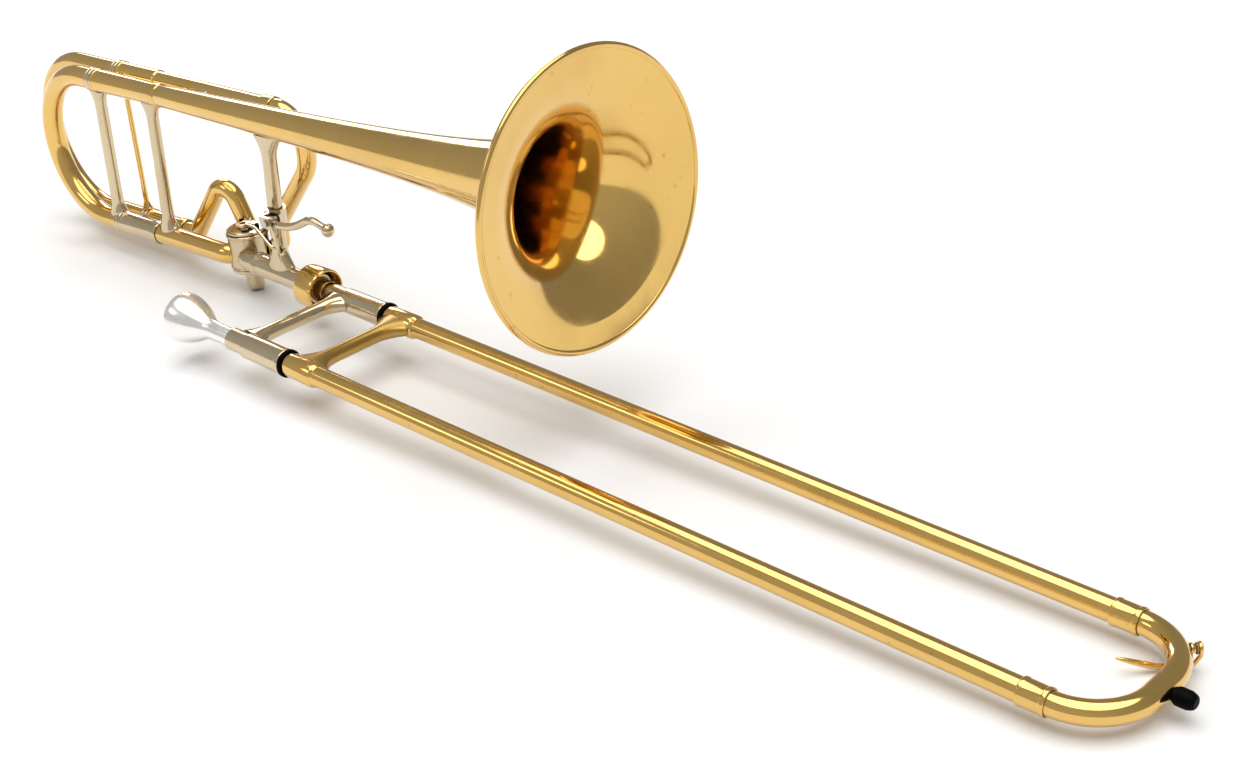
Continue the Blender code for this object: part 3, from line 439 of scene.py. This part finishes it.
def make_bell():
    wire_x, wire_radius, roll = RIM_X - ROLL, RIM_R - ROLL, ROLL - WALL / 2
    middle = []
    stations = 60
    first, length = 4.0, RIM_X - TAIL_X
    for k in range(stations):
        distance = first * (length / first) ** (1 - k / (stations - 1))
        middle.append(Vector((RIM_X - distance, horn(RIM_X - distance) - WALL / 2)))
    for k in range(19):
        angle = math.radians(20 + 13 * k)
        middle.append(Vector((wire_x + roll * math.sin(angle), wire_radius - roll * math.cos(angle))))
    outer, inner = [], []
    for k, point in enumerate(middle):
        ahead = (middle[min(k + 1, len(middle) - 1)] - middle[max(k - 1, 0)]).normalized()
        across = Vector((-ahead.y, ahead.x)) * WALL / 2
        outer.append(tuple(point + across))
        inner.append(tuple(point - across))
    lathe("bell_sheet", outer, inner, (0, 0, LOOP), X_AXIS, BELL, BRASS, "bell", "bell_rim_wire",
          facets=160, soft=0.1)


make_bell()


# Main tube and tuning slides

def receiver(name, start, end, radii, origin, material, node):
    """A tuning slide's outer leg with a ring at each end."""
    outer, inner = radii
    outline = [(start, outer + 0.55), (start + 1.6, outer + 0.75), (start + 3.2, outer + 0.55),
               (start + 3.6, outer), (end - 8, outer), (end - 7.4, outer + 0.5), (end - 0.8, outer + 0.5),
               (end, outer - 0.3)]
    lathe(name, outline, [(start, inner), (end, inner)], origin, X_AXIS, BELL, material, node)


CLEAR = 0.35  # gap between neighbouring pieces
RECEIVER_X, LOWER_RECEIVER_END = -186.6, -133.0
LOWER_TUBE_X = LOWER_RECEIVER_END + CLEAR  # where the tubes that meet the lower receivers begin
PORT_OUT = 16.9  # distance of the valve's ports from the rotor's axis
receiver("upper_receiver", RECEIVER_X, TAIL_X - CLEAR, (9.7, 9.1), (0, 0, LOOP), BRASS, "upper_outer_leg")
receiver("lower_receiver", RECEIVER_X, LOWER_RECEIVER_END, (9.7, 9.1), (0, 0, 0), NICKEL, "lower_outer_leg")


def port(side_x, side_y, distance):
    root = math.sqrt(0.5)
    return ROTOR + Vector((side_x * root * distance, side_y * root * distance, 0))


pipe("lower_leg_tube", route([port(-1, -1, PORT_OUT), ((-41, 0, 0), 12.0), (LOWER_TUBE_X, 0, 0)]), 8.8, 8.1,
     BELL, BRASS, "lower_leg")
pipe("valve_inlet_tube", route([port(1, -1, PORT_OUT), ((-13, 0, 0), 12.0), (0.3, 0, 0)]), 8.6, 7.2,
     BELL, NICKEL, "valve_inlet")

lathe("neckpipe_tube",
      [(-164.0, 9.9), (-163.0, 10.3), (-159.0, 10.3), (-158.0, 9.0), (-97.4, 9.0), (-96.6, 9.3),
       (-96.6, 13.0), (-92.0, 13.0)],
      [(-164.0, 7.2), (-92.0, 7.2)], FAR, X_AXIS, SLIDE, NICKEL, "neckpipe")
lathe("lock_nut_body",
      [(-100.0, 12.5), (-99.0, 15.5), (-97.2, 17.4), (-94.0, 18.1), (-80.0, 18.1), (-77.6, 17.8),
       (-76.6, 17.1)],
      [(-100.0, 9.6), (-97.0, 9.6), (-97.0, 13.5), (-87.0, 13.5), (-86.0, 14.6), (-84.6, 14.3),
       (-83.2, 15.0), (-81.8, 14.7), (-80.4, 15.4), (-79.0, 15.2), (-76.6, 16.2)],
      FAR, X_AXIS, SLIDE, BRASS, "lock_nut", facets=96)


def tuning_slide(prefix, plane_y, low_z, inner_leg, bow, apex_x, legs):
    """A bow with two inner legs, each with its ferrule."""
    radius = (LOOP - low_z) / 2
    bow_end = -189.5
    points = route([(bow_end, plane_y, low_z), ((apex_x, plane_y, low_z), radius),
                    ((apex_x, plane_y, LOOP), radius), (bow_end, plane_y, LOOP)], math.radians(3))
    pipe(prefix + "_bow_tube", points, bow[0], bow[1], BELL, BRASS, prefix + "_bow", facets=48)
    ferrule = bow[0] + 1.3
    for height, end, side in ((LOOP, legs[0], "upper"), (low_z, legs[1], "lower")):
        lathe(f"{prefix}_{side}_ferrule",
              [(-194.0, ferrule - 0.5), (-193.4, ferrule), (-192.0, ferrule), (-191.6, ferrule - 0.35),
               (-189.4, ferrule - 0.35), (-189.0, ferrule), (-187.6, ferrule), (-187.0, ferrule - 0.4),
               (-187.0, inner_leg[0]), (end, inner_leg[0])],
              [(-194.0, bow[0] + 0.15), (-189.1, bow[0] + 0.15), (-189.1, inner_leg[1]),
               (end, inner_leg[1])],
              (0, plane_y, height), X_AXIS, BELL, NICKEL, f"{prefix}_{side}_leg")


tuning_slide("tuning", 0.0, 0.0, (8.7, 8.1), (9.2, 8.5), -277.0, (-110.0, -135.5))
tuning_slide("f_tuning", F_Y, F_Z, (7.95, 7.4), (8.4, 7.7), -319.0, (-134.0, -135.0))

strut("tuning_slide_brace", (-196.5, 0, 0), (-188, 0, LOOP), 5.2, 9.0, 7.0,
      [(X_AXIS, 10.5), (X_AXIS, 10.5)], BELL, NICKEL, "tuning_brace", reach=12.0, sinks=(1.3, 0.0))
strut("receiver_cross_brace", (-121, 0, 0), (-111, 0, LOOP), 5.2, 11.0, 6.8,
      [(X_AXIS, 8.8), (X_AXIS, horn(-101) + 0.2)], BELL, NICKEL, "receiver_brace", reach=14.0)
strut("f_slide_cross_brace", (-191.5, F_Y, F_Z), (-188, F_Y, LOOP), 2.3, 6.0, 4.2,
      [(X_AXIS, 9.7), (X_AXIS, 9.7)], BELL, BRASS, "f_tuning_brace", reach=9.0)
NECK_AXIS = Vector((math.cos(LEAN), 0, -math.sin(LEAN)))
strut("bell_cross_brace", (33, 0, -33 * math.tan(LEAN)), (46, 0, LOOP), 6.0, 16.0, 7.2,
      [(NECK_AXIS, 9.0), (X_AXIS, horn(55) + 0.2)], BELL, NICKEL, "bell_brace", reach=22.0)


# F attachment

lathe("f_top_tube_body",
      [(RECEIVER_X, 9.4), (-185.0, 9.6), (-183.4, 9.4), (-183.0, 8.9), (-132.0, 8.9), (-131.0, 8.5),
       (-130.6, 8.0), (13.0, 8.0), (13.0, 8.7), (13.6, 9.1), (25.4, 9.1), (26.0, 8.7)],
      [(RECEIVER_X, 8.3), (-133.0, 8.3), (-133.0, 7.3), (15.0, 7.3), (15.0, 8.15), (26.0, 8.15)],
      (0, F_Y, LOOP), X_AXIS, BELL, BRASS, "f_top_tube")
ELBOW_OUT = 27.0  # distance of the F crooks' last elbows from the rotor's axis
FRONT_ELBOW, REAR_ELBOW = port(1, 1, ELBOW_OUT), port(-1, 1, ELBOW_OUT)
pipe("f_front_crook_tube",
     route([(15.4, F_Y, LOOP), ((57, F_Y, LOOP), 30.0), ((57, F_Y, 87), 30.0),
            ((FRONT_ELBOW.x, FRONT_ELBOW.y, 22), 16.0), (tuple(FRONT_ELBOW), 10.0), port(1, 1, PORT_OUT)]),
     8.0, 7.3, BELL, BRASS, "f_front_crook")
receiver("f_lower_receiver_body", RECEIVER_X, LOWER_RECEIVER_END, (8.9, 8.3), (0, F_Y, F_Z), BRASS,
         "f_lower_receiver")
pipe("f_valve_crook_tube",
     route([(LOWER_TUBE_X, F_Y, F_Z), ((-119, F_Y, F_Z), 12.0), ((-66, 29, 57.6), 14.0),
            (tuple(REAR_ELBOW), 10.0), port(-1, 1, PORT_OUT)]),
     7.9, 7.2, BELL, BRASS, "f_valve_crook")
strut("f_stay_body", (-60, 0, LOOP), (-60, F_Y, LOOP), 3.0, 6.5, 4.2, [(X_AXIS, horn(-54)), (X_AXIS, 8.0)],
      BELL, NICKEL, "f_stay", reach=2.6)


# Valve

lathe("valve_casing",
      [(-11.0, 17.4), (-10.6, 17.9), (-9.8, 17.9), (-9.4, 17.1), (16.0, 17.1), (16.6, 17.9), (18.4, 17.9),
       (19.0, 17.3)],
      [(-11.0, 15.8), (19.0, 15.8)], ROTOR, Z_AXIS, BELL, NICKEL, "rotor_casing", facets=96)
lathe("valve_top_plate", [(19.35, 16.2), (19.9, 16.8), (21.4, 16.8), (22.2, 15.6), (22.2, 8.0), (21.8, 7.0)],
      [(19.35, 3.9), (21.8, 3.9)], ROTOR, Z_AXIS, BELL, NICKEL, "bearing_plate", facets=96)
lathe("valve_bottom_cap",
      [(-34.0, 3.6), (-33.2, 5.4), (-31.6, 6.6), (-28.0, 7.3), (-16.6, 7.6), (-15.4, 8.6), (-15.0, 15.2),
       (-14.4, 16.8), (-13.4, 17.5), (-12.0, 17.5), (-11.35, 17.1)],
      None, ROTOR, Z_AXIS, BELL, NICKEL, "valve_cap", facets=96)

for node, material in (("rotor", SHADED_SATIN_BRASS), ("stop_arm", NICKEL), ("stop_arm_screw", STEEL),
                       ("stop_bumper_rest", RUBBER), ("stop_bumper_valve", RUBBER), ("lever_bracket", NICKEL),
                       ("lever_hinge_screw", STEEL), ("lever_spring", STEEL), ("link_rod", NICKEL),
                       ("slide_cork_a", CORK), ("slide_cork_b", CORK), ("water_key_saddle", BRASS),
                       ("water_key_screw", STEEL), ("water_key_cork", CORK), ("water_key_spring", STEEL)):
    mesh = frame["nodes"][node].data
    mesh.materials.clear()
    mesh.materials.append(material)
    mesh.polygons.foreach_set("use_smooth", [True] * len(mesh.polygons))
    mesh.set_sharp_from_angle(angle=math.radians(35))

LEVER = Vector((52.0, -14.0, 53.0))
TOUCH = LEVER + Vector((69, 1, 5))
lathe("lever_barrel", [(-4.6, 3.6), (-4.2, 4.0), (0.2, 4.0), (0.6, 3.6)], [(-4.6, 1.9), (0.6, 1.9)],
      LEVER, (0, 1, 0), BELL, NICKEL, "thumb_lever", facets=48)
ARM_LINE = route([(LEVER.x + 2.6, LEVER.y - 1.5, LEVER.z - 1.5),
                  ((LEVER.x + 24, LEVER.y - 1.5, LEVER.z - 2), 60.0),
                  ((LEVER.x + 50, LEVER.y, LEVER.z + 11), 16.0), tuple(TOUCH)], math.radians(3))
ARM_LAST = len(ARM_LINE) - 1
bar("lever_arm_body", ARM_LINE, [2.9 + 0.5 * math.sin(math.pi * k / ARM_LAST) for k in range(ARM_LAST + 1)],
    BELL, NICKEL, "thumb_lever", facets=32)
lathe("lever_touch_ball",
      [(5.4 * math.sin(math.radians(a)), 5.4 * math.cos(math.radians(a))) for a in range(-85, 86, 10)], None,
      TOUCH, Z_AXIS, BELL, NICKEL, "thumb_lever", facets=48, soft=0.1)
REST_LEAN = math.radians(12.0)  # half of the lever's swing
HANG = Vector((math.sin(REST_LEAN), 0, -math.cos(REST_LEAN)))
DRIVE_TOP = Vector((LEVER.x, -17.1, LEVER.z))
PIN = DRIVE_TOP + HANG * 25.0
bar("lever_drive_arm", [DRIVE_TOP + HANG * t for t in (3.6, 10, 18, 25.6)],
    [(1.1, 2.4), (1.1, 2.1), (1.1, 2.0), (1.1, 2.2)], BELL, NICKEL, "thumb_lever", normal=(0, 1, 0))
bar("lever_drive_pin", [PIN, PIN + Vector((0, 4.9, 0))], 1.15, BELL, NICKEL, "thumb_lever", facets=20)


# Slide

for place, origin, barrel_start in (("a", NEAR, -69.0), ("b", FAR, -72.0)):
    lathe(f"cork_barrel_{place}_body",
          [(barrel_start, 8.5), (barrel_start + 0.6, 8.9), (-50.6, 8.9), (-49.6, 10.0), (-48.6, 10.2),
           (-8.0, 10.2), (-7.4, 10.45), (-4.6, 10.45), (-4.0, 10.1)],
          [(barrel_start, 7.45), (-24.0, 7.45), (-24.0, 9.2), (-4.0, 9.2)],
          origin, X_AXIS, SLIDE, NICKEL, f"cork_barrel_{place}")
    start = -46.4 if place == "a" else -71.5
    lathe(f"inner_tube_{place}_body", [(start, 7.1), (530.0, 7.1), (532.0, 7.22), (640.0, 7.22)],
          [(start, 6.65), (640.0, 6.65)],
          origin, X_AXIS, SLIDE, CHROME, f"inner_tube_{place}", soft=0.15)
    lathe(f"outer_tube_{place}_body",
          [(-14.0, 8.5), (-13.4, 8.8), (0.6, 8.8), (1.0, 9.4), (1.6, 9.6), (29.6, 9.6), (31.0, 9.2),
           (32.5, 7.9), (651.0, 7.9)],
          [(-14.0, 7.5), (651.0, 7.5)], origin, X_AXIS, SLIDE, BRASS, f"outer_tube_{place}", soft=0.15)
    lathe(f"crook_ferrule_{place}_body",
          [(642.0, 8.7), (642.6, 9.2), (644.4, 9.2), (645.0, 8.85), (657.6, 8.85), (658.2, 9.2),
           (660.4, 9.2), (661.0, 8.7)],
          [(642.0, 8.1), (661.0, 8.1)], origin, X_AXIS, SLIDE, BRASS, f"crook_ferrule_{place}")
# Painted shade: these black rings stand in for the shadowed gap where each outer slide tube meets its cork
# barrel.
for node, origin in (("slide_lock_ring", NEAR), ("barrel_end_ring", FAR)):
    lathe(node + "_body", [(-3.65, 10.4), (-3.0, 11.0), (-0.9, 11.0), (-0.2, 10.4)],
          [(-3.65, 9.2), (-0.2, 9.2)], origin, X_AXIS, SLIDE, RUBBER, node)
lathe("leadpipe_body", [(-68.6, 7.1), (-47.0, 7.1), (-47.0, 6.3), (160.0, 6.3)],
      [(-68.6, 6.75), (-48.0, 6.1), (-45.0, 5.6), (160.0, 5.7)],
      NEAR, X_AXIS, SLIDE, NICKEL, "leadpipe", soft=0.2)
lathe("slide_collar_flange", [(-91.5, 12.2), (-91.0, 12.6), (-84.6, 12.6), (-84.0, 12.2)],
      [(-91.5, 6.9), (-84.0, 6.8)], FAR, X_AXIS, SLIDE, NICKEL, "slide_collar", soft=0.2)
lathe("slide_collar_neck", [(-84.1, 10.6), (-82.5, 9.3), (-72.35, 9.2)],
      [(-84.1, 6.8), (-72.35, 6.65)], FAR, X_AXIS, SLIDE, NICKEL, "slide_collar", soft=0.2)
strut("hand_brace_body", (-55, -SPACING, 0), (-55, 0, 0), 6.0, 14.5, 7.4,
      [(X_AXIS, 10.2), (X_AXIS, 10.2)], SLIDE, NICKEL, "hand_brace", reach=19.0)
# The outer brace's darker brass is painted shade.
strut("outer_brace_body", (14.5, -SPACING, 0), (14.5, 0, 0), 6.2, 17.0, 7.4,
      [(X_AXIS, 9.6), (X_AXIS, 9.6)], SLIDE, SHADED_SATIN_BRASS, "outer_brace", reach=22.0)

MOUTH_OUT = [(-135.0, 16.8), (-134.6, 18.0), (-133.6, 19.2), (-131.6, 20.1), (-129.0, 20.2), (-126.0, 19.8),
             (-122.0, 18.9), (-117.0, 17.2), (-112.0, 15.2), (-107.0, 12.9), (-103.0, 10.8), (-99.5, 9.2),
             (-96.0, 8.2), (-92.0, 7.7), (-84.0, 7.5), (-70.2, 7.2), (-69.5, 6.4), (-50.0, 5.8)]
MOUTH_IN = [(-135.0, 14.8), (-134.2, 13.8), (-132.0, 12.9), (-128.0, 12.2), (-123.0, 11.2), (-118.0, 9.2),
            (-113.5, 6.6), (-110.0, 4.6), (-107.5, 3.7), (-104.0, 3.4), (-97.0, 3.7), (-50.0, 5.0)]
lathe("mouthpiece_body", MOUTH_OUT, MOUTH_IN, NEAR, X_AXIS, SLIDE, SILVER, "mouthpiece", facets=96, soft=0.3)

CROOK_START, CROOK_APEX, CROOK_R, CROOK_TUBE = 651.35, 701.0, 41.0, 7.9
pipe("slide_crook_tube",
     route([(CROOK_START, 0, 0), ((CROOK_APEX, 0, 0), CROOK_R),
            ((CROOK_APEX, -SPACING, 0), CROOK_R), (CROOK_START, -SPACING, 0)], math.radians(3)),
     CROOK_TUBE, 7.3, SLIDE, BRASS, "slide_crook", facets=48)
lathe("rubber_tip",
      [(0.1, 4.6), (1.0, 4.6), (2.0, 5.5), (3.4, 5.8), (9.5, 5.8), (12.2, 4.9), (13.4, 4.2), (14.0, 3.4)], None,
      (CROOK_APEX + CROOK_TUBE, -SPACING / 2, 0), X_AXIS, SLIDE, RUBBER, "rubber_bumper", facets=48, soft=0.5)

KEY_TURN = Matrix.Rotation(math.radians(45.0), 3, "Z") @ Matrix.Rotation(math.pi, 3, "X")


def key_point(radial, depth=0.0, tangential=0.0):
    """A point in the water key's own axes: out from the bend's centre, down, and along the crook."""
    return Vector((CROOK_APEX - CROOK_R, -CROOK_R, 0)) + KEY_TURN @ Vector((radial, tangential, depth))


KEY_OUT, KEY_DEPTH = key_point(1) - key_point(0), 12.2
lathe("water_key_nipple_body", [(0.1, 3.6), (1.2, 3.6), (1.6, 2.9), (3.2, 2.7)], [(0.1, 1.5), (3.2, 1.5)],
      key_point(CROOK_R + CROOK_TUBE), KEY_OUT, SLIDE, BRASS, "slide_crook", facets=48, soft=0.2)
lathe("water_key_barrel", [(-3.8, 1.9), (-3.5, 2.1), (0.7, 2.1), (1.0, 1.9)], [(-3.8, 1.45), (1.0, 1.45)],
      key_point(CROOK_R, KEY_DEPTH), key_point(0, 0, 1) - key_point(0), SLIDE, BRASS, "water_key",
      facets=40, soft=0.15)
TOUCH_LINE = ((2.4, 0.3), (8, 0.1), (12, -0.6), (15, -1.4), (19, -2.7), (23, -4.0), (30, -6.4), (34, -7.7))
bar("water_key_touch_body",
    [key_point(CROOK_R - inward, KEY_DEPTH + down, -1.4) for inward, down in TOUCH_LINE],
    [1.8, 1.9, 2.0, 2.1, 2.0, 1.9, 1.35, 0.7], SLIDE, BRASS, "water_key")
bar("water_key_arm_body",
    route([tuple(key_point(CROOK_R + 2.2, KEY_DEPTH + 0.2, -1.4)),
           (tuple(key_point(CROOK_R + 11, KEY_DEPTH + 0.8, -1.4)), 5.0),
           (tuple(key_point(CROOK_R + 15.5, 5.0, -0.8)), 5.0), tuple(key_point(CROOK_R + 14.2, 0.6))]),
    1.45, SLIDE, BRASS, "water_key")
lathe("water_key_cup_body", [(12.6, 3.9), (12.9, 4.3), (14.2, 4.3), (15.0, 3.6), (15.3, 1.6)], None,
      key_point(CROOK_R), KEY_OUT, SLIDE, BRASS, "water_key", facets=48, soft=0.25)


# Stage, light and camera

def make_floor():
    """A pale floor that touches the valve's cap and the water key's saddle, which the instrument rests on."""
    half_cap, gap, size = 0.017, 0.0005, 30.0  # metres
    rest_x, rest_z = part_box("valve_cap")[0].x + half_cap, 0.0
    saddle_low, saddle_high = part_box("water_key_saddle")
    slope = (saddle_low.z - rest_z) / ((saddle_low.x + saddle_high.x) / 2 - rest_x)
    corners = [(-size, -size), (size, -size), (size, size), (-size, size)]
    points = [(x, y, rest_z + (x - rest_x) * slope - gap) for x, y in corners]
    mesh = bpy.data.meshes.new("floor")
    mesh.from_pydata(points, [], [(0, 1, 2, 3)])
    floor = bpy.data.objects.new("floor", mesh)
    bpy.context.scene.collection.objects.link(floor)
    nodes = Nodes("pale_floor")
    nodes.shader.inputs["Base Color"].default_value = (0.93, 0.93, 0.93, 1.0)
    nodes.shader.inputs["Roughness"].default_value = 0.9
    mesh.materials.append(nodes.material)


def make_world():
    """Studio surroundings: mid grey on the near side, darker towards the far side."""
    world = bpy.data.worlds.new("studio")
    bpy.context.scene.world = world
    world.use_nodes = True
    tree = world.node_tree
    direction = tree.nodes.new("ShaderNodeTexCoord").outputs["Generated"]
    parts = tree.nodes.new("ShaderNodeSeparateXYZ")
    tree.links.new(direction, parts.inputs["Vector"])
    side = tree.nodes.new("ShaderNodeMapRange")
    tree.links.new(parts.outputs["Y"], side.inputs["Value"])
    for socket, value in (("From Min", -0.8), ("From Max", 0.6), ("To Min", 0.50), ("To Max", 0.30)):
        side.inputs[socket].default_value = value
    grey = tree.nodes.new("ShaderNodeCombineColor")
    for channel in ("Red", "Green", "Blue"):
        tree.links.new(side.outputs["Result"], grey.inputs[channel])
    tree.links.new(grey.outputs["Color"], tree.nodes["Background"].inputs["Color"])
    tree.nodes["Background"].inputs["Strength"].default_value = 1.0


def make_light(name, location, target, size, power):
    """A rectangular soft light that faces its target."""
    light = bpy.data.lights.new(name, "AREA")
    light.shape = "RECTANGLE"
    light.size, light.size_y = size
    light.energy = power
    obj = bpy.data.objects.new(name, light)
    obj.location = location
    obj.rotation_mode = "QUATERNION"
    obj.rotation_quaternion = (Vector(location) - Vector(target)).to_track_quat("Z", "Y")
    bpy.context.scene.collection.objects.link(obj)


def make_sun(strength, angle):
    """A wide soft light from straight above, which keeps the floor evenly pale."""
    light = bpy.data.lights.new("overhead", "SUN")
    light.energy = strength
    light.angle = angle
    obj = bpy.data.objects.new("overhead", light)
    bpy.context.scene.collection.objects.link(obj)


def make_camera():
    """The view. The place and the right, up and back axes are in the slide's frame."""
    camera = bpy.data.cameras.new("camera")
    camera.sensor_width = 36.0
    camera.lens = 59.283
    camera.clip_end = 200.0
    obj = bpy.data.objects.new("camera", camera)
    bpy.context.scene.collection.objects.link(obj)
    right, up, back = (0.7365, 0.675, -0.0448), (-0.2903, 0.3751, 0.8803), (0.611, -0.6354, 0.4722)
    turn = Matrix((right, up, back)).transposed().to_4x4()
    place = Vector((1132.0, -916.9, 704.4)) * MM
    obj.matrix_world = SLIDE @ Matrix.Translation(place) @ turn
    bpy.context.scene.camera = obj


make_floor()
make_world()
make_sun(2.3, math.radians(66))
make_light("left_soft", (-1.25, -1.7, 1.46), (0.1, 0, 0.05), (0.8, 0.5), 2.6)
make_light("far_soft", (-2.3, 1.4, 1.05), (0, 0, 0.2), (0.9, 0.7), 9.0)
make_camera()
bpy.context.scene.view_settings.view_transform = "Standard"
